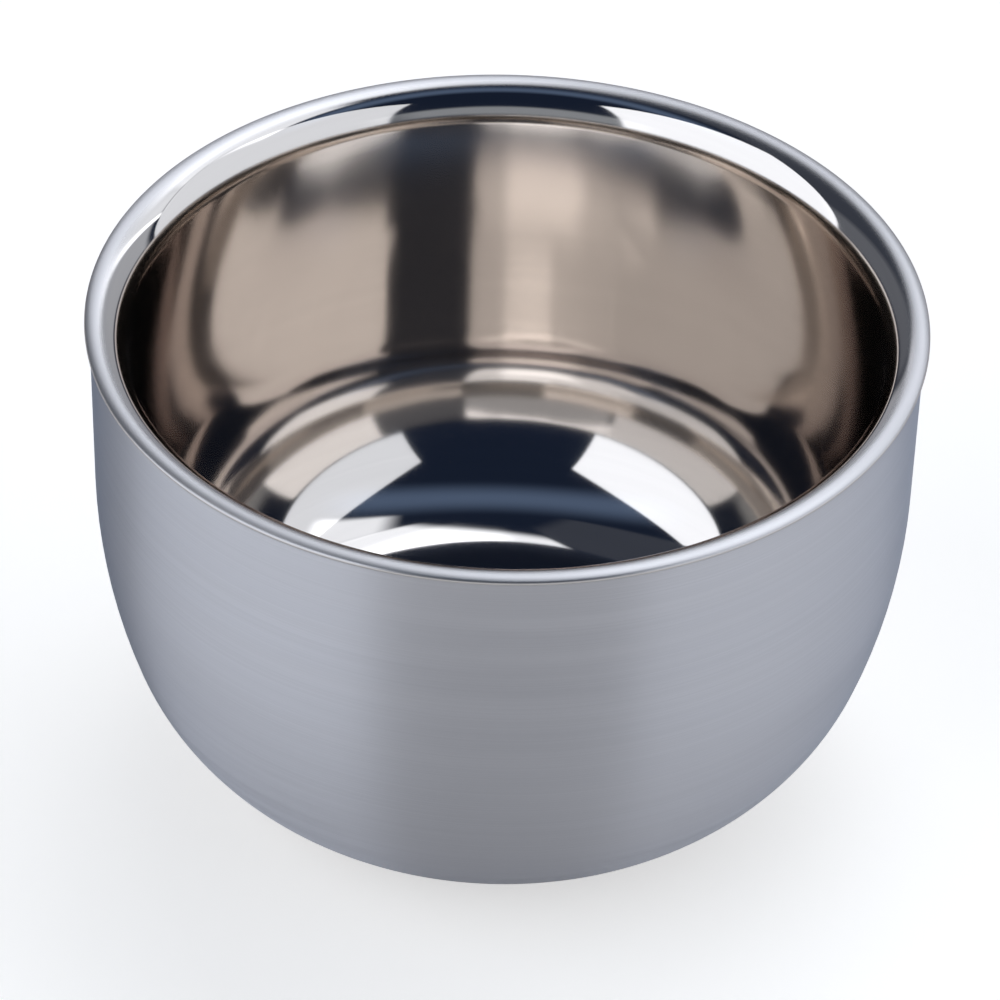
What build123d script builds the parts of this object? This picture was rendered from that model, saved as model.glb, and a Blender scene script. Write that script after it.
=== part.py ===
"""Double-wall stainless steel shaving bowl.

A polished liner hangs inside a satin jacket with an air gap all round. The liner's mouth curls
outwards into a rounded lip that covers the jacket's top edge. Every piece is a body of revolution
about Z, the bowl's axis. The table is z = 0 and all sizes are in millimetres.
"""

from build123d import *

import os
from math import cos, radians, sin

# Overall size
RIM_RADIUS = 40.0
HEIGHT = 50.0
SHEET = 0.5  # thickness of both sheets

# Lip, measured on the liner's polished face
CREST_RADIUS = 1.8
CREST_OUTER_SLOPE = 25.0  # degrees below level where the sheet ends, in a round edge
CREST_INNER_SLOPE = 18.0  # degrees below level where the crest runs into the shoulder
SHOULDER_RADIUS = 3.7  # from the crest down to the wall

# Liner, measured on its polished face
LINER_DRAFT = 1.25  # degrees from upright, opening upwards
LINER_UPPER_CURVE = 17.7  # from the wall down
LINER_CURVE_TILT = 66.0  # degrees from upright where the upper curve meets the lower one
LINER_LOWER_CURVE = 22.7  # down to the floor
FLOOR_HEIGHT = 3.6

# Seal, a bead of sealant under the lip, on the jacket's edge
SEAL_WIDTH = 0.6 * SHEET
SEAL_THICKNESS = 0.34 * SHEET  # its corners just clear the lip

# Jacket, measured on its satin face. A tilt is the wall's slope from upright, in degrees.
JACKET_HEIGHT = HEIGHT - 1.5 * SHEET
JACKET_COLLAR = 1.0  # upright edge below the lip
JACKET_DRAFT = 0.9  # tilt of the straight wall, opening upwards
JACKET_CURVES = ((60.0, 18.0), (23.0, 60.0), (12.0, 90.0))  # radius, and tilt at its lower end
FOOT_RING_INNER = 17.0  # the flat ring on the table ends here
PANEL_BEND = 1.5  # both bends of the step up to the base panel
PANEL_SLOPE = 45.0
PANEL_HEIGHT = 2 * PANEL_BEND * (1 - cos(radians(PANEL_SLOPE)))

# Vent plug, a rivet in the middle of the base panel
VENT_RADIUS = 1.5
PLUG_HEAD_RADIUS = 2.6
PLUG_HEAD = 0.4
PLUG_CLINCH_RADIUS = 2.1
PLUG_CLINCH = 0.5
PLUG_ROUND = 0.15


class Sheet:
    """A sheet in section, drawn along its visible face with X as radius and Y as height.

    Headings and turns are in degrees, turns positive to the left. side says where the metal lies
    as seen along the heading: 1 for left, -1 for right.
    """

    def __init__(self, start, heading, side):
        self.point = Vector(*start)
        self.heading = heading
        self.side = side
        self.visible = []
        self.hidden = []

    def hidden_point(self):
        """The point straight through the sheet from the current one."""
        return self.point + unit(self.heading + 90 * self.side) * SHEET

    def line(self, length):
        """Go straight on."""
        before, hidden_before = self.point, self.hidden_point()
        self.point = before + unit(self.heading) * length
        self.visible.append(Line(before, self.point))
        self.hidden.append(Line(hidden_before, self.hidden_point()))

    def line_to_radius(self, radius):
        """Go straight on to a distance from the bowl's axis."""
        self.line((radius - self.point.X) / unit(self.heading).X)

    def line_to_height(self, height):
        """Go straight on to a height above the table."""
        self.line((height - self.point.Y) / unit(self.heading).Y)

    def arc(self, radius, turn):
        """Bend through an angle. radius is that of the visible face."""
        before, hidden_before = self.point, self.hidden_point()
        centre = before + unit(self.heading + (90 if turn > 0 else -90)) * radius
        spoke, hidden_spoke = before - centre, hidden_before - centre
        self.visible.append(arc_about(centre, spoke, turn))
        self.hidden.append(arc_about(centre, hidden_spoke, turn))
        self.point = centre + spoke.rotate(Axis.Z, turn)
        self.heading += turn

    def arc_to_heading(self, radius, heading):
        """Bend until the sheet runs along a heading."""
        self.arc(radius, heading - self.heading)

    def revolved(self, round_start=False):
        """The finished sheet as a solid. Its first edge is cut square or rounded."""
        start = Line(self.visible[0] @ 0, self.hidden[0] @ 0)
        if round_start:
            spoke = self.visible[0] @ 0 - start @ 0.5
            start = arc_about(start @ 0.5, spoke, -180 * self.side)
        end = Line(self.visible[-1] @ 1, self.hidden[-1] @ 1)
        return revolved([start, *self.visible, end, *self.hidden])


def unit(heading):
    """A step of length one along a heading in degrees."""
    return Vector(cos(radians(heading)), sin(radians(heading)))


def arc_about(centre, spoke, turn):
    """The arc that the end of a spoke draws about a centre."""
    middle, end = spoke.rotate(Axis.Z, turn / 2), spoke.rotate(Axis.Z, turn)
    return ThreePointArc(centre + spoke, centre + middle, centre + end)


def revolved(outline):
    """Spin a closed outline, drawn with X as radius and Y as height, about the bowl's axis."""
    return revolve(Plane.XZ * make_face(outline), Axis.Z)


def make_inner_bowl():
    """Liner: lip, shoulder, nearly upright wall, curves of growing tilt and flat floor."""
    lip_out = unit(90 - CREST_OUTER_SLOPE)
    reach = (CREST_RADIUS - SHEET / 2) * lip_out.X + SHEET / 2
    crest_centre = Vector(RIM_RADIUS - reach, HEIGHT - CREST_RADIUS)
    liner = Sheet(crest_centre + lip_out * CREST_RADIUS, heading=180 - CREST_OUTER_SLOPE, side=1)
    liner.arc_to_heading(CREST_RADIUS, 180 + CREST_INNER_SLOPE)
    liner.arc_to_heading(SHOULDER_RADIUS, 270 - LINER_DRAFT)
    upper = sin(radians(LINER_CURVE_TILT)) - sin(radians(LINER_DRAFT))
    lower = 1 - sin(radians(LINER_CURVE_TILT))
    liner.line_to_height(FLOOR_HEIGHT + LINER_UPPER_CURVE * upper + LINER_LOWER_CURVE * lower)
    liner.arc_to_heading(LINER_UPPER_CURVE, 270 - LINER_CURVE_TILT)
    liner.arc_to_heading(LINER_LOWER_CURVE, 180)
    liner.line_to_radius(0)
    return liner.revolved(round_start=True)


def height_of_curves():
    """Height of the jacket's curved part, from the table to where the straight wall starts."""
    height, tilt = 0.0, JACKET_DRAFT
    for radius, lower_tilt in JACKET_CURVES:
        height += radius * (sin(radians(lower_tilt)) - sin(radians(tilt)))
        tilt = lower_tilt
    return height


def make_outer_shell():
    """Jacket: straight wall, curves of growing tilt, foot ring and raised base panel with its vent."""
    jacket = Sheet(start=(RIM_RADIUS - SHEET, JACKET_HEIGHT), heading=270, side=-1)
    jacket.line(JACKET_COLLAR)
    jacket.arc_to_heading(JACKET_CURVES[0][0], 270 - JACKET_DRAFT)
    jacket.line_to_height(height_of_curves())
    for radius, lower_tilt in JACKET_CURVES:
        jacket.arc_to_heading(radius, 270 - lower_tilt)
    jacket.line_to_radius(FOOT_RING_INNER)
    jacket.arc(PANEL_BEND, -PANEL_SLOPE)
    jacket.arc(PANEL_BEND, PANEL_SLOPE)
    jacket.line_to_radius(VENT_RADIUS)
    return jacket.revolved()


def make_rim_seal():
    """Bead of sealant squeezed flat between the jacket's edge and the lip."""
    middle = RIM_RADIUS - 1.5 * SHEET
    ring = disc(middle + SEAL_WIDTH / 2, SEAL_THICKNESS) - disc(middle - SEAL_WIDTH / 2, SEAL_THICKNESS)
    return Pos(Z=JACKET_HEIGHT) * ring


def make_vent_plug():
    """Rivet that closes the vent: a head under the panel, a shank and a clinched end above it."""
    head_bottom = PANEL_HEIGHT - PLUG_HEAD
    panel_top = PANEL_HEIGHT + SHEET
    head = Pos(Z=head_bottom) * disc(PLUG_HEAD_RADIUS, PLUG_HEAD)
    head = fillet(head.edges().group_by(Axis.Z)[0], PLUG_ROUND)
    shank = Pos(Z=PANEL_HEIGHT) * disc(VENT_RADIUS, SHEET)
    clinch = Pos(Z=panel_top) * disc(PLUG_CLINCH_RADIUS, PLUG_CLINCH)
    clinch = fillet(clinch.edges().group_by(Axis.Z)[-1], PLUG_ROUND)
    return head + shank + clinch


def disc(radius, thickness):
    """A round plate standing on z = 0."""
    return Cylinder(radius, thickness, align=(Align.CENTER, Align.CENTER, Align.MIN))


PIECES = {
    "inner_bowl": make_inner_bowl,
    "outer_shell": make_outer_shell,
    "rim_seal": make_rim_seal,
    "vent_plug": make_vent_plug,
}

os.makedirs("parts", exist_ok=True)
for name, make in PIECES.items():
    piece = make()
    export_step(piece, f"parts/{name}.step")
    box = piece.bounding_box()
    print(name, "volume", round(piece.volume, 1), "z", round(box.min.Z, 3), "to", round(box.max.Z, 3))
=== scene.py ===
"""Looks of a double-wall steel shaving bowl: mirror-polished liner, satin jacket, studio and camera.

The bowl is a body of revolution about Z and stands on z = 0. Lengths are in metres.
"""

from math import ceil, cos, degrees, pi, radians, sin, tan

import bmesh
import bpy
from mathutils import Matrix, Vector


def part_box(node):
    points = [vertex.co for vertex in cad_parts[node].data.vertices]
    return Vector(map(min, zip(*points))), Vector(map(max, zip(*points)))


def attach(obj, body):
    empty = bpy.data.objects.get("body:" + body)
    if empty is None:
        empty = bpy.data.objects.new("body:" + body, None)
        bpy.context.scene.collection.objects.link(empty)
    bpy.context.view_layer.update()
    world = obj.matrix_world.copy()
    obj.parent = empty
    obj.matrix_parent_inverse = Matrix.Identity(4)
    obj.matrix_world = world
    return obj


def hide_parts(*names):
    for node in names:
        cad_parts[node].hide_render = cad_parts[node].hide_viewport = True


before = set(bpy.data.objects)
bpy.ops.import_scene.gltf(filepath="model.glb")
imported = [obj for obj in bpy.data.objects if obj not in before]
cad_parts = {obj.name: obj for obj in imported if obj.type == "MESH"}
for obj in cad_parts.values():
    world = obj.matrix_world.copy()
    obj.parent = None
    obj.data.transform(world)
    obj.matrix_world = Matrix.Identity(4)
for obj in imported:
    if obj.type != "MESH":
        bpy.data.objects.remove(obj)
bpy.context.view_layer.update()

bl_info = {
    "name": "Shaving Bowl",
    "version": (1, 0, 0),
    "blender": (4, 5, 0),
    "location": "3D View > Sidebar > Bowl",
    "description": "Builds a double-wall steel shaving bowl around its construction model",
    "category": "Add Mesh",
}

MM = 0.001
DECIMETRES = 10.0  # in a metre
BODY = "root"
RIM_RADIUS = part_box("inner_bowl")[1].x
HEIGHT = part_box("inner_bowl")[1].z


# --- Settings --------------------------------------------------------------------------------


def length(name, description, default):
    """A size in metres."""
    return bpy.props.FloatProperty(
        name=name, description=description, default=default, min=0.0, precision=5,
        subtype="DISTANCE", unit="LENGTH",
    )


def angle(name, description, default):
    """An angle, its default given in degrees."""
    return bpy.props.FloatProperty(
        name=name, description=description, default=radians(default), precision=2,
        subtype="ANGLE", unit="ROTATION",
    )


def colour(name, description, default):
    """A linear colour."""
    return bpy.props.FloatVectorProperty(
        name=name, description=description, default=default, size=3, min=0.0, max=1.0,
        subtype="COLOR",
    )


def factor(name, description, default):
    """A share between 0 and 1."""
    return bpy.props.FloatProperty(
        name=name, description=description, default=default, min=0.0, max=1.0, subtype="FACTOR",
    )


class BowlSizes(bpy.types.PropertyGroup):
    """Sizes of the two sheets, measured on their visible faces."""

    sheet: length("Sheet", "Thickness of both sheets", 0.5 * MM)
    crest_radius: length("Crest", "Radius of the lip's crest", 1.8 * MM)
    crest_outer_slope: angle("Outer slope", "Slope of the crest where the sheet ends", 25.0)
    crest_inner_slope: angle("Inner slope", "Slope of the crest where the shoulder starts", 18.0)
    shoulder_radius: length("Shoulder", "Bend from the crest down to the wall", 3.7 * MM)
    liner_draft: angle("Liner draft", "Slope of the liner's wall from upright", 1.25)
    upper_curve: length("Upper curve", "Curve from the liner's wall down", 17.7 * MM)
    curve_tilt: angle("Curve tilt", "Slope from upright where the two curves meet", 66.0)
    lower_curve: length("Lower curve", "Curve down to the polished floor", 22.7 * MM)
    floor_height: length("Floor height", "Height of the polished floor", 3.6 * MM)
    jacket_drop: length("Jacket drop", "From the lip's crest down to the jacket's edge", 0.75 * MM)
    jacket_collar: length("Collar", "Upright edge of the jacket below the lip", 1.0 * MM)
    jacket_draft: angle("Jacket draft", "Slope of the jacket's straight wall", 0.9)
    side_curve: length("Side curve", "Large curve below the straight wall", 60.0 * MM)
    side_tilt: angle("Side tilt", "Slope where the side curve meets the heel curve", 18.0)
    heel_curve: length("Heel curve", "Curve of the jacket's heel", 23.0 * MM)
    heel_tilt: angle("Heel tilt", "Slope where the heel curve meets the foot bend", 60.0)
    foot_bend: length("Foot bend", "Curve that runs into the foot ring", 12.0 * MM)
    foot_ring: length("Foot ring", "Inner radius of the flat ring on the table", 17.0 * MM)
    panel_bend: length("Panel bend", "Bends of the step up to the base panel", 1.5 * MM)
    panel_slope: angle("Panel slope", "Steepest slope of that step", 45.0)
    vent_radius: length("Vent", "Radius of the vent hole", 1.5 * MM)
    segments: bpy.props.IntProperty(
        name="Segments", description="Divisions round the bowl", default=384, min=24, max=720,
    )
    weld: length("Weld distance", "Points closer than this become one", 0.001 * MM)


class SteelFinish(bpy.types.PropertyGroup):
    """Colour and polish of the steel."""

    polished_colour: colour("Polished steel", "Tint of the mirror finish", (0.74, 0.68, 0.625))
    # Painted shade: this darker tint dims the mirror wherever it is seen edge on, darkening the wall's
    # grazing edges.
    polished_edge_painted_shade: colour("Polished edge", "Tint of the mirror finish seen edge on", (0.50, 0.47, 0.50))
    floor_roughness: factor("Floor polish", "Roughness of the liner's floor across its rings", 0.04)
    wall_roughness: factor("Wall polish", "Roughness of the liner's wall across its rings", 0.085)
    brim_roughness: factor("Brim polish", "Roughness just below the lip", 0.11)
    polished_anisotropy: factor("Polish grain", "How much sharper the polish is along its rings", 0.7)
    lip_colour: colour("Lip", "Tint of the semi-polished crest of the lip", (0.54, 0.515, 0.505))
    lip_roughness: factor("Lip polish", "Roughness of the crest of the lip", 0.34)
    satin_colour: colour("Satin steel", "Tint of the satin finish", (0.59, 0.585, 0.615))
    # Painted shade: this dark blue tint darkens and blues the jacket wherever it is seen edge on, in
    # place of the dim room it would reflect there.
    satin_edge_painted_shade: colour("Satin edge", "Tint of the satin finish seen edge on", (0.08, 0.14, 0.24))
    satin_roughness: factor("Satin", "Roughness of the satin finish across its rings", 0.42)
    satin_anisotropy: factor("Grain", "How much sharper the satin finish is along its rings", 0.95)
    plug_colour: colour("Plug steel", "Tint of the vent plug", (0.62, 0.61, 0.60))
    sealant_colour: colour("Sealant", "Colour of the sealant", (0.70, 0.70, 0.67))


class StudioSettings(bpy.types.PropertyGroup):
    """Lights, floor and camera."""

    distance: length("Light distance", "From the bowl to the middle of a soft box", 2.0)
    radiance: bpy.props.FloatProperty(
        name="Brightness", description="Brightness of a soft box's face", default=1.55, min=0.0,
    )
    light_colour: colour("Light", "Colour of the soft boxes and panels", (0.83, 0.90, 1.0))
    floor_colour: colour("Floor", "Colour of the table", (0.80, 0.755, 0.69))
    floor_glow: bpy.props.FloatProperty(
        name="Floor glow", description="Brightness added where the table is seen", default=0.50, min=0.0,
    )
    ambient: colour("Ambient", "Light of the dim room", (0.010, 0.017, 0.038))
    camera_distance: length("Camera distance", "From the middle of the mouth", 616.0 * MM)
    camera_elevation: angle("Camera elevation", "Above the mouth's plane", 36.84)
    camera_roll: angle("Camera roll", "Turn of the camera about its axis", -1.575)
    camera_lens: bpy.props.FloatProperty(
        name="Lens", description="Focal length in millimetres", default=234.4, min=1.0,
    )


# --- Sections and lathe ----------------------------------------------------------------------

ARC_STEP = 2.0  # degrees of turn between points on a curve
SMALL_ARC = 5.0 * MM  # curves under this radius take the coarser step
SMALL_ARC_STEP = 3.0
LINE_STEP = 2.0 * MM
ROUND_EDGE_PIECES = 10


def unit(heading):
    """A step of length one along a heading in degrees, as (radius, height)."""
    return Vector((cos(radians(heading)), sin(radians(heading))))


def rotated(spoke, turn):
    """A spoke turned to the left by an angle in degrees."""
    level = unit(turn)
    return Vector((spoke.x * level.x - spoke.y * level.y, spoke.x * level.y + spoke.y * level.x))


class Section:
    """A sheet in section, drawn along its visible face. Points are (radius, height).

    Headings and turns are in degrees, turns positive to the left. side says where the metal lies
    as seen along the heading: 1 for left, -1 for right.
    """

    def __init__(self, start, heading, side, thickness):
        self.point = Vector(start)
        self.heading = heading
        self.across = side * thickness
        self.visible = [self.point.copy()]
        self.hidden = [self.hidden_point()]

    def hidden_point(self):
        """The point straight through the sheet from the current one."""
        return self.point + unit(self.heading + 90) * self.across

    def mark(self):
        """Add the current point to both faces."""
        self.visible.append(self.point.copy())
        self.hidden.append(self.hidden_point())

    def line(self, distance):
        """Go straight on."""
        pieces = max(1, ceil(distance / LINE_STEP))
        step = unit(self.heading) * (distance / pieces)
        for _ in range(pieces):
            self.point += step
            self.mark()

    def line_to_radius(self, radius):
        """Go straight on to a distance from the axis."""
        self.line((radius - self.point.x) / unit(self.heading).x)

    def line_to_height(self, height):
        """Go straight on to a height above the table."""
        self.line((height - self.point.y) / unit(self.heading).y)

    def arc_to_heading(self, radius, heading):
        """Bend until the sheet runs along a heading. radius is that of the visible face."""
        turn = heading - self.heading
        to_centre = 90 if turn > 0 else -90
        centre = self.point + unit(self.heading + to_centre) * radius
        pieces = max(2, ceil(abs(turn) / (SMALL_ARC_STEP if radius < SMALL_ARC else ARC_STEP)))
        for _ in range(pieces):
            self.heading += turn / pieces
            self.point = centre - unit(self.heading + to_centre) * radius
            self.mark()

    def outline(self, round_start=False):
        """Both faces in one run, hidden face first. The first edge is cut square or rounded."""
        middle = (self.hidden[0] + self.visible[0]) / 2
        spoke = self.hidden[0] - middle
        turns = range(1, ROUND_EDGE_PIECES) if round_start else ()
        side = 1 if self.across > 0 else -1
        half_circle = [middle + rotated(spoke, side * 180 * i / ROUND_EDGE_PIECES) for i in turns]
        return self.hidden[::-1] + half_circle + self.visible


def liner_section(sizes):
    """Lip, shoulder, nearly upright wall, curves of growing tilt and flat floor, to the axis."""
    draft, outer = degrees(sizes.liner_draft), degrees(sizes.crest_outer_slope)
    edge = sizes.sheet / 2
    lip_out = unit(90 - outer)
    crest = Vector((RIM_RADIUS - edge, HEIGHT - sizes.crest_radius))
    crest.x -= (sizes.crest_radius - edge) * lip_out.x
    start = crest + lip_out * sizes.crest_radius
    section = Section(start, heading=180 - outer, side=1, thickness=sizes.sheet)
    section.arc_to_heading(sizes.crest_radius, 180 + degrees(sizes.crest_inner_slope))
    section.arc_to_heading(sizes.shoulder_radius, 270 - draft)
    upper = sizes.upper_curve * (sin(sizes.curve_tilt) - sin(sizes.liner_draft))
    lower = sizes.lower_curve * (1 - sin(sizes.curve_tilt))
    section.line_to_height(sizes.floor_height + upper + lower)
    section.arc_to_heading(sizes.upper_curve, 270 - degrees(sizes.curve_tilt))
    section.arc_to_heading(sizes.lower_curve, 180)
    section.line_to_radius(0.0)
    return section.outline(round_start=True)


def jacket_section(sizes):
    """Collar, straight wall, curves of growing tilt, foot ring and base panel up to the vent."""
    start = (RIM_RADIUS - sizes.sheet, HEIGHT - sizes.jacket_drop)
    draft = degrees(sizes.jacket_draft)
    curves = (
        (sizes.side_curve, degrees(sizes.side_tilt)),
        (sizes.heel_curve, degrees(sizes.heel_tilt)),
        (sizes.foot_bend, 90.0),
    )
    drop, tilt = 0.0, draft
    for radius, lower_tilt in curves:
        drop += radius * (sin(radians(lower_tilt)) - sin(radians(tilt)))
        tilt = lower_tilt
    section = Section(start, heading=270, side=-1, thickness=sizes.sheet)
    section.line(sizes.jacket_collar)
    section.arc_to_heading(sizes.side_curve, 270 - draft)
    section.line_to_height(drop)
    for radius, lower_tilt in curves:
        section.arc_to_heading(radius, 270 - lower_tilt)
    section.line_to_radius(sizes.foot_ring)
    section.arc_to_heading(sizes.panel_bend, 180 - degrees(sizes.panel_slope))
    section.arc_to_heading(sizes.panel_bend, 180)
    section.line_to_radius(sizes.vent_radius)
    outline = section.outline()
    return outline + outline[:1]


class NodeTree:
    """Adds nodes to a tree and links them in one call."""

    def __init__(self, tree):
        self.tree = tree

    def add(self, kind, settings=None, **inputs):
        """A node, its settings, and its inputs by name: a socket is linked, anything else is set."""
        node = self.tree.nodes.new(kind)
        for key, value in (settings or {}).items():
            setattr(node, key, value)
        for key, value in inputs.items():
            self.feed(node, key.replace("_", " "), value)
        return node

    def feed(self, node, key, value):
        """Link or set one input, found by name, or by number as in "#1"."""
        socket = node.inputs[int(key[1:])] if key.startswith("#") else node.inputs[key]
        if isinstance(value, bpy.types.NodeSocket):
            self.tree.links.new(value, socket)
        else:
            socket.default_value = value

    def math(self, operation, first, second=0.0):
        """A Math node's result."""
        node = self.add("ShaderNodeMath", {"operation": operation})
        self.feed(node, "#0", first)
        self.feed(node, "#1", second)
        return node.outputs[0]


def lathe_tree():
    """Geometry nodes that turn a section, drawn in the XZ plane, about Z.

    A flat grid has one column for each division round the axis and one row for each point of the
    section. Each grid point takes its radius and height from the section and its angle from its
    column. The seam and the poles are then welded. The grid's own coordinates stay as the UV map:
    u is the share of a turn, and v the distance along the section in decimetres.
    """
    tree = bpy.data.node_groups.new("Lathe", "GeometryNodeTree")
    face = tree.interface
    face.new_socket("Section", in_out="INPUT", socket_type="NodeSocketGeometry")
    face.new_socket("Segments", in_out="INPUT", socket_type="NodeSocketInt")
    face.new_socket("Weld Distance", in_out="INPUT", socket_type="NodeSocketFloat")
    face.new_socket("Material", in_out="INPUT", socket_type="NodeSocketMaterial")
    face.new_socket("Geometry", in_out="OUTPUT", socket_type="NodeSocketGeometry")
    t = NodeTree(tree)
    given = t.add("NodeGroupInput").outputs
    count = t.add("GeometryNodeAttributeDomainSize", {"component": "MESH"}, Geometry=given["Section"])
    rows = count.outputs["Point Count"]
    grid = t.add(
        "GeometryNodeMeshGrid", Size_X=1.0, Size_Y=1.0,
        Vertices_X=t.math("ADD", given["Segments"], 1.0), Vertices_Y=rows,
    )
    place = t.add("ShaderNodeSeparateXYZ", Vector=t.add("GeometryNodeInputPosition").outputs[0])
    turn = t.math("ADD", place.outputs["X"], 0.5)
    share_of_rows = t.math("ADD", place.outputs["Y"], 0.5)
    row = t.math("ROUND", t.math("MULTIPLY", share_of_rows, t.math("SUBTRACT", rows, 1.0)))
    point = t.add(
        "GeometryNodeSampleIndex", {"data_type": "FLOAT_VECTOR", "domain": "POINT"},
        Geometry=given["Section"], Value=t.add("GeometryNodeInputPosition").outputs[0], Index=row,
    )
    named = t.add("GeometryNodeInputNamedAttribute", {"data_type": "FLOAT"}, Name="run")
    run = t.add(
        "GeometryNodeSampleIndex", {"data_type": "FLOAT", "domain": "POINT"},
        Geometry=given["Section"], Value=named.outputs["Attribute"], Index=row,
    )
    unrolled = t.add("ShaderNodeCombineXYZ", X=turn, Y=run.outputs["Value"])
    mapped = t.add(
        "GeometryNodeStoreNamedAttribute", {"data_type": "FLOAT2", "domain": "CORNER"},
        Geometry=grid.outputs["Mesh"], Name="UVMap", Value=unrolled.outputs[0],
    )
    section = t.add("ShaderNodeSeparateXYZ", Vector=point.outputs["Value"])
    around = t.math("MULTIPLY", turn, 2 * pi)
    position = t.add(
        "ShaderNodeCombineXYZ",
        X=t.math("MULTIPLY", section.outputs["X"], t.math("COSINE", around)),
        Y=t.math("MULTIPLY", section.outputs["X"], t.math("SINE", around)),
        Z=section.outputs["Z"],
    )
    placed = t.add("GeometryNodeSetPosition", Geometry=mapped.outputs[0], Position=position.outputs[0])
    welded = t.add(
        "GeometryNodeMergeByDistance", Geometry=placed.outputs[0], Distance=given["Weld Distance"],
    )
    smooth = t.add("GeometryNodeSetShadeSmooth", Geometry=welded.outputs[0])
    real = t.add("GeometryNodeRealizeInstances", Geometry=smooth.outputs[0])
    dressed = t.add("GeometryNodeSetMaterial", Geometry=real.outputs[0], Material=given["Material"])
    t.add("NodeGroupOutput", Geometry=dressed.outputs[0])
    return tree


def section_object(name, outline):
    """The outline as a chain of edges in the XZ plane, with the distance run along it."""
    mesh = bpy.data.meshes.new(name)
    points = [(p.x, 0.0, p.y) for p in outline]
    mesh.from_pydata(points, [(i, i + 1) for i in range(len(points) - 1)], [])
    run, runs = 0.0, [0.0]
    for before, after in zip(outline, outline[1:]):
        run += (after - before).length
        runs.append(run * DECIMETRES)
    mesh.attributes.new("run", "FLOAT", "POINT").data.foreach_set("value", runs)
    piece = bpy.data.objects.new(name, mesh)
    bpy.context.scene.collection.objects.link(piece)
    return piece


SHARP_EDGE = 40.0  # degrees between faces that meet in a visible corner


def lathe(name, outline, material, sizes):
    """Turn an outline into a closed, smooth, outward-facing mesh object."""
    piece = section_object(name, outline)
    modifier = piece.modifiers.new("Lathe", "NODES")
    modifier.node_group = bpy.data.node_groups.get("Lathe") or lathe_tree()
    interface = modifier.node_group.interface.items_tree
    sockets = {socket.name: socket.identifier for socket in interface if socket.in_out == "INPUT"}
    modifier[sockets["Segments"]] = sizes.segments
    modifier[sockets["Weld Distance"]] = sizes.weld
    modifier[sockets["Material"]] = material
    bpy.context.view_layer.update()
    evaluated = piece.evaluated_get(bpy.context.evaluated_depsgraph_get())
    mesh = bpy.data.meshes.new_from_object(evaluated)
    piece.modifiers.remove(modifier)
    piece.data = mesh
    face_outwards(mesh)
    mesh.set_sharp_from_angle(angle=radians(SHARP_EDGE))
    return piece


def face_outwards(mesh):
    """Turn every face of a closed mesh outwards. Raises if the mesh is open or loose."""
    work = bmesh.new()
    work.from_mesh(mesh)
    bmesh.ops.recalc_face_normals(work, faces=work.faces)
    open_edges = [e for e in work.edges if len(e.link_faces) != 2]
    if work.calc_volume(signed=True) < 0:
        bmesh.ops.reverse_faces(work, faces=work.faces)
    work.to_mesh(mesh)
    work.free()
    if open_edges:
        raise RuntimeError(f"{mesh.name} has {len(open_edges)} open or loose edges")


# --- Materials -------------------------------------------------------------------------------

LIP_INNER, LIP_OUTER = RIM_RADIUS - 2.6 * MM, RIM_RADIUS - 1.0 * MM  # the polish softens between
SHOULDER_INNER = RIM_RADIUS - 3.9 * MM  # outside this the shoulder is a mirror again
WALL_LOW, WALL_HIGH, WALL_TOP = 4.5 * MM, 15.0 * MM, 40.0 * MM  # the polish softens up the wall
HAZE_SPREAD = (0.85, 1.2)  # uneven polish, as a share of its roughness
POLISH_RINGS, SATIN_RINGS, SATIN_BANDS = 120.0, 900.0, 60.0  # in a decimetre of section
POLISH_DEPTH, SATIN_DEPTH = 0.002 * MM, 0.004 * MM
SATIN_SPREAD = 0.02
PLUG_MARKS = 2600.0
SEALANT_LUMPS, LUMP_DEPTH = 1500.0, 0.02 * MM
TEXTURE_LOW, TEXTURE_HIGH = 0.3, 0.7  # most of a texture's values lie between


def new_material(name):
    """A material with its nodes cleared but for the output, and a Principled shader."""
    material = bpy.data.materials.new(name)
    material.use_nodes = True
    material.node_tree.nodes.clear()
    t = NodeTree(material.node_tree)
    shader = t.add("ShaderNodeBsdfPrincipled")
    t.add("ShaderNodeOutputMaterial", Surface=shader.outputs[0])
    return material, t, shader


def ring_coordinates(t, around, along):
    """Coordinates for marks that run round the axis, without a seam.

    around is how often the pattern changes in a turn, along how often in a decimetre of section.
    """
    uv = t.add("ShaderNodeSeparateXYZ", Vector=t.add("ShaderNodeUVMap", {"uv_map": "UVMap"}).outputs[0])
    turn = t.math("MULTIPLY", uv.outputs["X"], 2 * pi)
    radius = around / 6  # of a circle that is about as long as around
    return t.add(
        "ShaderNodeCombineXYZ",
        X=t.math("MULTIPLY", t.math("COSINE", turn), radius),
        Y=t.math("MULTIPLY", t.math("SINE", turn), radius),
        Z=t.math("MULTIPLY", uv.outputs["Y"], along),
    ).outputs[0]


def length_of(t, vector):
    """A vector's length."""
    return t.add("ShaderNodeVectorMath", {"operation": "LENGTH"}, Vector=vector).outputs["Value"]


def noise(t, vector, scale=1.0, detail=2.0, roughness=0.5):
    """A noise texture's value."""
    return t.add(
        "ShaderNodeTexNoise", Vector=vector, Scale=scale, Detail=detail, Roughness=roughness,
    ).outputs[0]


def spread(t, value, low, high):
    """A texture's value moved to between low and high."""
    node = t.add("ShaderNodeMapRange", Value=value, To_Min=low, To_Max=high)
    t.feed(node, "From Min", TEXTURE_LOW)
    t.feed(node, "From Max", TEXTURE_HIGH)
    return node.outputs[0]


def ramp(t, value, low, high, to_low=0.0, to_high=1.0):
    """A value that goes smoothly from to_low at low to to_high at high."""
    node = t.add("ShaderNodeMapRange", {"interpolation_type": "SMOOTHSTEP"}, Value=value)
    for key, number in (("From Min", low), ("From Max", high), ("To Min", to_low), ("To Max", to_high)):
        t.feed(node, key, number)
    return node.outputs[0]


def within(t, value, span, soft):
    """1 inside a span and 0 outside it, with soft edges."""
    low, high = span
    rise = ramp(t, value, low - soft / 2, low + soft / 2)
    fall = ramp(t, value, high - soft / 2, high + soft / 2, 1.0, 0.0)
    return t.math("MULTIPLY", rise, fall)


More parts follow.
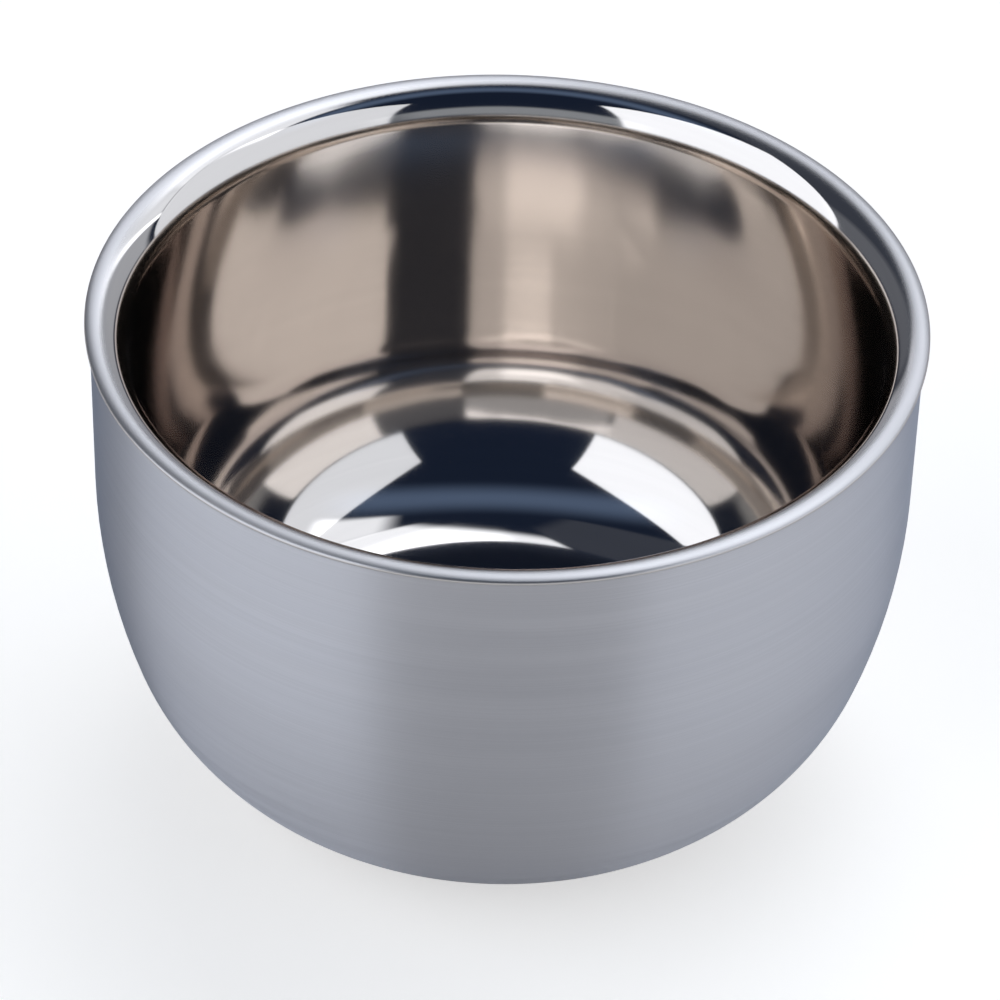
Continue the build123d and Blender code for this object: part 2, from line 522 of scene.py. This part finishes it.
def tinted(t, colour_value, value, depth):
    """The colour, darkened by up to depth where the value is low."""
    shade = spread(t, value, 1.0 - depth, 1.0)
    return t.add(
        "ShaderNodeVectorMath", {"operation": "SCALE"}, Vector=tuple(colour_value), Scale=shade,
    ).outputs[0]


def bump(t, height, distance, strength):
    """A bump normal from a height between 0 and 1, distance metres deep."""
    return t.add("ShaderNodeBump", Height=height, Distance=distance, Strength=strength).outputs[0]


def grain_round_axis(t, shader, anisotropy):
    """Make the finish sharper along rings about Z than across them."""
    tangent = t.add("ShaderNodeTangent", {"direction_type": "RADIAL", "axis": "Z"}).outputs[0]
    t.feed(shader, "Anisotropic", anisotropy)
    t.feed(shader, "Anisotropic Rotation", 0.25)
    t.feed(shader, "Tangent", tangent)


def satin_steel(finish):
    """Steel spun to a satin of fine rings: sharp along the rings, broadly blurred across them."""
    material, t, shader = new_material("satin_steel")
    rings = noise(t, ring_coordinates(t, around=5.0, along=SATIN_RINGS), detail=4.0, roughness=0.6)
    bands = noise(t, ring_coordinates(t, around=3.0, along=SATIN_BANDS))
    rough = finish.satin_roughness
    t.feed(shader, "Base Color", tinted(t, finish.satin_colour, rings, depth=0.08))
    t.feed(shader, "Metallic", 1.0)
    t.feed(shader, "Roughness", spread(t, bands, rough - SATIN_SPREAD, rough + SATIN_SPREAD))
    # Specular Tint is painted shade: it turns the satin dark blue where it is seen edge on.
    t.feed(shader, "Specular Tint", (*finish.satin_edge_painted_shade, 1.0))
    grain_round_axis(t, shader, finish.satin_anisotropy)
    t.feed(shader, "Normal", bump(t, rings, SATIN_DEPTH, strength=0.3))
    return material


def polished_steel(finish):
    """Steel polished in rings: a mirror on the floor, softer up the wall and on the lip's crest."""
    material, t, shader = new_material("polished_steel")
    place = t.add("ShaderNodeTexCoord").outputs["Object"]
    axes = t.add("ShaderNodeSeparateXYZ", Vector=place).outputs
    level = t.add("ShaderNodeCombineXYZ", X=axes["X"], Y=axes["Y"])
    radius = length_of(t, level.outputs[0])
    rings = noise(t, ring_coordinates(t, around=4.0, along=POLISH_RINGS), detail=3.0, roughness=0.6)
    haze = noise(t, place, scale=60.0, detail=3.0)
    crest = ramp(t, radius, LIP_INNER, LIP_OUTER)
    floor, wall, brim = finish.floor_roughness, finish.wall_roughness, finish.brim_roughness
    lower = ramp(t, axes["Z"], WALL_LOW, WALL_HIGH, floor, wall)
    upper = ramp(t, axes["Z"], WALL_HIGH, WALL_TOP, 0.0, brim - wall)
    plain = t.math("MULTIPLY", spread(t, haze, *HAZE_SPREAD), t.math("ADD", lower, upper))
    plain = t.math("SUBTRACT", plain, ramp(t, radius, SHOULDER_INNER, LIP_INNER, 0.0, brim - floor))
    extra = t.math("MULTIPLY", crest, finish.lip_roughness - floor)
    tint = t.add("ShaderNodeMix", {"data_type": "RGBA"}, Factor=crest)  # colours at 6 and 7
    t.feed(tint, "#6", tinted(t, finish.polished_colour, rings, depth=0.03))
    t.feed(tint, "#7", (*finish.lip_colour, 1.0))
    t.feed(shader, "Base Color", tint.outputs[2])
    t.feed(shader, "Metallic", 1.0)
    t.feed(shader, "Roughness", t.math("ADD", plain, extra))
    # Specular Tint is painted shade: it darkens the mirror where it is seen edge on.
    t.feed(shader, "Specular Tint", (*finish.polished_edge_painted_shade, 1.0))
    grain_round_axis(t, shader, finish.polished_anisotropy)
    t.feed(shader, "Normal", bump(t, rings, POLISH_DEPTH, strength=0.03))
    return material


def plug_steel(finish):
    """Semi-polished steel of the vent plug, with fine turning marks."""
    material, t, shader = new_material("plug_steel")
    place = t.add("ShaderNodeTexCoord").outputs["Object"]
    wave = {"wave_type": "RINGS", "rings_direction": "Z"}
    marks = t.add("ShaderNodeTexWave", wave, Vector=place, Scale=PLUG_MARKS).outputs[1]
    t.feed(shader, "Base Color", tinted(t, finish.plug_colour, marks, depth=0.10))
    t.feed(shader, "Metallic", 1.0)
    t.feed(shader, "Roughness", spread(t, marks, low=0.24, high=0.32))
    return material


def sealant(finish):
    """Matt rubbery sealant, slightly uneven."""
    material, t, shader = new_material("sealant")
    lumps = noise(t, t.add("ShaderNodeTexCoord").outputs["Object"], scale=SEALANT_LUMPS)
    t.feed(shader, "Base Color", tinted(t, finish.sealant_colour, lumps, depth=0.12))
    t.feed(shader, "Roughness", 0.6)
    t.feed(shader, "Normal", bump(t, lumps, LUMP_DEPTH, strength=0.5))
    return material


# --- Pieces ----------------------------------------------------------------------------------


def settle(piece, node):
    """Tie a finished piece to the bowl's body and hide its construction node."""
    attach(piece, BODY)
    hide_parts(node)


class BOWL_OT_liner(bpy.types.Operator):
    """Build the polished liner with its rounded lip"""

    bl_idname = "bowl.liner"
    bl_label = "Liner"

    def execute(self, context):
        sizes, finish = context.scene.bowl_sizes, context.scene.bowl_finish
        piece = lathe("liner", liner_section(sizes), polished_steel(finish), sizes)
        settle(piece, "inner_bowl")
        return {"FINISHED"}


class BOWL_OT_jacket(bpy.types.Operator):
    """Build the satin jacket with its foot ring and base panel"""

    bl_idname = "bowl.jacket"
    bl_label = "Jacket"

    def execute(self, context):
        sizes, finish = context.scene.bowl_sizes, context.scene.bowl_finish
        piece = lathe("jacket", jacket_section(sizes), satin_steel(finish), sizes)
        settle(piece, "outer_shell")
        return {"FINISHED"}


class BOWL_OT_small_parts(bpy.types.Operator):
    """Give the vent plug and the sealant their finishes"""

    bl_idname = "bowl.small_parts"
    bl_label = "Vent plug and sealant"

    def execute(self, context):
        finish = context.scene.bowl_finish
        for node, material in (("vent_plug", plug_steel(finish)), ("rim_seal", sealant(finish))):
            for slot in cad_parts[node].material_slots:
                slot.material = material
        return {"FINISHED"}


# --- Studio ----------------------------------------------------------------------------------


def add_light(name, azimuth, spread_angle, top, share, studio):
    """An upright soft box that stands on the floor and faces the bowl.

    Azimuth 0 is on the camera's side, 90 on its right. The box spans spread_angle degrees on
    either side of it and reaches up to an elevation of top degrees.
    """
    width = 2 * studio.distance * tan(radians(spread_angle))
    height = studio.distance * tan(radians(top))
    data = bpy.data.lights.new(name, "AREA")
    data.shape = "RECTANGLE"
    data.size, data.size_y = width, height
    data.energy = share * studio.radiance * pi * width * height
    data.color = studio.light_colour
    light = bpy.data.objects.new(name, data)
    bpy.context.scene.collection.objects.link(light)
    away = Vector((sin(radians(azimuth)), -cos(radians(azimuth)), 0.0))
    light.location = away * studio.distance + Vector((0.0, 0.0, height / 2))
    light.rotation_euler = away.to_track_quat("Z", "Y").to_euler()


class BOWL_OT_studio(bpy.types.Operator):
    """Set up the floor, the soft boxes, the dim room and the camera"""

    bl_idname = "bowl.studio"
    bl_label = "Studio"

    def execute(self, context):
        studio = context.scene.bowl_studio
        add_floor(studio)
        add_lights(studio)
        add_camera(studio)
        context.scene.view_settings.view_transform = "Standard"
        return {"FINISHED"}


FLOOR_RADIUS = 4.0
FLOOR_GAP = 0.02 * MM
# Painted shadow: close to the bowl the table's glow is dimmed for reflections only, in place of the
# bowl's own contact shadow.
PAINTED_SHADE_INNER, PAINTED_SHADE_OUTER = 50 * MM, 200 * MM  # steel sees less of the table's glow close to the bowl
PAINTED_SHADE_LEAST_GLOW = 0.25


def add_floor(studio):
    """A large round table top, a hair below the foot ring so that the two faces don't coincide."""
    mesh = bpy.data.meshes.new("floor")
    work = bmesh.new()
    bmesh.ops.create_circle(work, cap_ends=True, segments=96, radius=FLOOR_RADIUS)
    bmesh.ops.translate(work, verts=work.verts, vec=(0.0, 0.0, -FLOOR_GAP))
    work.to_mesh(mesh)
    work.free()
    floor = bpy.data.objects.new("floor", mesh)
    bpy.context.scene.collection.objects.link(floor)
    material, t, shader = new_material("table")
    t.feed(shader, "Base Color", (*studio.floor_colour, 1.0))
    t.feed(shader, "Roughness", 0.7)
    ray = t.add("ShaderNodeLightPath").outputs
    place = t.add("ShaderNodeTexCoord").outputs["Object"]
    # Painted shadow: reflections in the steel see the table's glow dimmed near the bowl, standing in for
    # its contact shadow.
    share = ramp(t, length_of(t, place), PAINTED_SHADE_INNER, PAINTED_SHADE_OUTER, PAINTED_SHADE_LEAST_GLOW, 1.0)
    glossy_glow_with_painted_shade = t.math("MULTIPLY", ray["Is Glossy Ray"], share)
    seen = t.math("MAXIMUM", glossy_glow_with_painted_shade, ray["Is Transmission Ray"])
    seen = t.math("MAXIMUM", seen, ray["Is Camera Ray"])
    t.feed(shader, "Emission Color", (1.0, 1.0, 1.0, 1.0))
    t.feed(shader, "Emission Strength", t.math("MULTIPLY", seen, studio.floor_glow))
    mesh.materials.append(material)


# The soft boxes: name, azimuth, half its spread and top, in degrees, and share of full brightness.
SOFT_BOXES = (
    ("soft_box_left", -67.5, 36.5, 60.0, 1.0),
    ("soft_box_right", 76.0, 41.0, 58.0, 0.70),
)

# Lit panels behind the bowl. Each is upright and faces it: the span in azimuth, from straight
# behind and positive to the right, the span in elevation at its middle, in degrees, the softness
# of its edges, and its brightness.
ROOM_PANELS = (
    ((-23.0, 63.0), (49.0, 78.0), 4.0, 0.95),
    ((63.0, 88.0), (51.0, 70.0), 6.0, 0.85),
    ((-23.0, 63.0), (35.0, 49.0), 5.0, 0.75),
    ((-23.0, 63.0), (31.0, 35.0), 3.0, 1.5),
    ((-3.0, 46.0), (46.0, 76.0), 12.0, 0.68),
    ((-2.0, 26.0), (30.0, 37.0), 4.0, 0.8),
    ((-23.0, 60.0), (4.0, 31.0), 4.0, 0.35),
    ((-80.0, -25.0), (3.0, 30.0), 8.0, 0.10),
    ((-78.0, -25.0), (30.0, 80.0), 4.0, 0.03),
)

# Dim panels across the room: half the width as the sine of its angle from straight ahead, the
# span in degrees from the level behind the bowl (0) over it (90) to the front (180), the softness
# of its edges, and its colour.
CROSS_PANELS = (
    (0.6, (93.0, 106.0), 12.0, (0.08, 0.12, 0.20)),
    (0.55, (153.0, 176.0), 6.0, (0.28, 0.31, 0.34)),
)
CROSS_SOFTNESS = 0.3


def add_lights(studio):
    """Soft boxes to the left and right, and a dim room with lit panels round the bowl."""
    for name, azimuth, spread_angle, top, share in SOFT_BOXES:
        add_light(name, azimuth, spread_angle, top, share, studio)
    world = bpy.data.worlds.new("room")
    world.use_nodes = True
    world.node_tree.nodes.clear()
    t = NodeTree(world.node_tree)
    towards = t.add("ShaderNodeSeparateXYZ", Vector=t.add("ShaderNodeTexCoord").outputs["Generated"])
    x, y, z = towards.outputs
    azimuth = t.math("DEGREES", t.math("ARCTAN2", x, y))
    lit = 0.0
    for across, up, soft, share in ROOM_PANELS:
        middle = radians(sum(across) / 2)
        forward = t.math("ADD", t.math("MULTIPLY", x, sin(middle)), t.math("MULTIPLY", y, cos(middle)))
        rise = t.math("DEGREES", t.math("ARCTAN2", z, forward))
        panel = t.math("MULTIPLY", within(t, azimuth, across, soft), within(t, rise, up, soft))
        lit = t.math("ADD", t.math("MULTIPLY", panel, share * studio.radiance), lit)
    over = t.math("DEGREES", t.math("ARCTAN2", z, y))
    dim = tuple(studio.ambient)
    for half_width, span, soft, tint in CROSS_PANELS:
        panel = within(t, x, (-half_width, half_width), CROSS_SOFTNESS)
        panel = t.math("MULTIPLY", panel, within(t, over, span, soft))
        more = t.add("ShaderNodeVectorMath", {"operation": "MULTIPLY_ADD"}, Vector=tint)
        t.feed(more, "#1", panel)
        t.feed(more, "#2", dim)
        dim = more.outputs[0]
    glow = t.add(
        "ShaderNodeVectorMath", {"operation": "SCALE"}, Vector=tuple(studio.light_colour), Scale=lit,
    )
    whole = t.add("ShaderNodeVectorMath", {"operation": "ADD"}, Vector=glow.outputs[0])
    t.feed(whole, "#1", dim)
    room = t.add("ShaderNodeBackground", Color=whole.outputs[0], Strength=1.0)
    plain = t.add("ShaderNodeBackground", Color=(1.0, 1.0, 1.0, 1.0), Strength=1.0)
    seen = t.add("ShaderNodeLightPath").outputs["Is Camera Ray"]
    mixed = t.add("ShaderNodeMixShader", Fac=seen)
    t.feed(mixed, "#1", room.outputs[0])
    t.feed(mixed, "#2", plain.outputs[0])
    t.add("ShaderNodeOutputWorld", Surface=mixed.outputs[0])
    bpy.context.scene.world = world


AIM = Vector((-0.24 * MM, 0.0, 0.55 * HEIGHT))


def add_camera(studio):
    """A long lens above the front of the mouth, aimed at the middle of the bowl."""
    data = bpy.data.cameras.new("camera")
    data.lens = studio.camera_lens
    camera = bpy.data.objects.new("camera", data)
    bpy.context.scene.collection.objects.link(camera)
    up, out = sin(studio.camera_elevation), cos(studio.camera_elevation)
    camera.location = Vector((0.0, -out * studio.camera_distance, HEIGHT + up * studio.camera_distance))
    look = (AIM - camera.location).to_track_quat("-Z", "Y").to_matrix().to_4x4()
    camera.rotation_euler = (look @ Matrix.Rotation(-studio.camera_roll, 4, "Z")).to_euler()
    bpy.context.scene.camera = camera


# --- Add-on ----------------------------------------------------------------------------------


class BOWL_PT_panel(bpy.types.Panel):
    """Lists the bowl's pieces and its stage"""

    bl_label = "Shaving Bowl"
    bl_idname = "BOWL_PT_panel"
    bl_space_type = "VIEW_3D"
    bl_region_type = "UI"
    bl_category = "Bowl"

    def draw(self, context):
        for operator in STEPS:
            self.layout.operator(operator.bl_idname)
        for group in (context.scene.bowl_sizes, context.scene.bowl_finish, context.scene.bowl_studio):
            box = self.layout.box()
            for key in group.__annotations__:
                box.prop(group, key)


STEPS = (BOWL_OT_liner, BOWL_OT_jacket, BOWL_OT_small_parts, BOWL_OT_studio)
GROUPS = {"bowl_sizes": BowlSizes, "bowl_finish": SteelFinish, "bowl_studio": StudioSettings}
CLASSES = (*GROUPS.values(), *STEPS, BOWL_PT_panel)


def register():
    for cls in CLASSES:
        bpy.utils.register_class(cls)
    for name, group in GROUPS.items():
        setattr(bpy.types.Scene, name, bpy.props.PointerProperty(type=group))


def unregister():
    for name in GROUPS:
        delattr(bpy.types.Scene, name)
    for cls in reversed(CLASSES):
        bpy.utils.unregister_class(cls)


def main():
    """Build every piece and the stage."""
    register()
    bpy.ops.bowl.liner()
    bpy.ops.bowl.jacket()
    bpy.ops.bowl.small_parts()
    bpy.ops.bowl.studio()


if __name__ == "__main__":
    main()
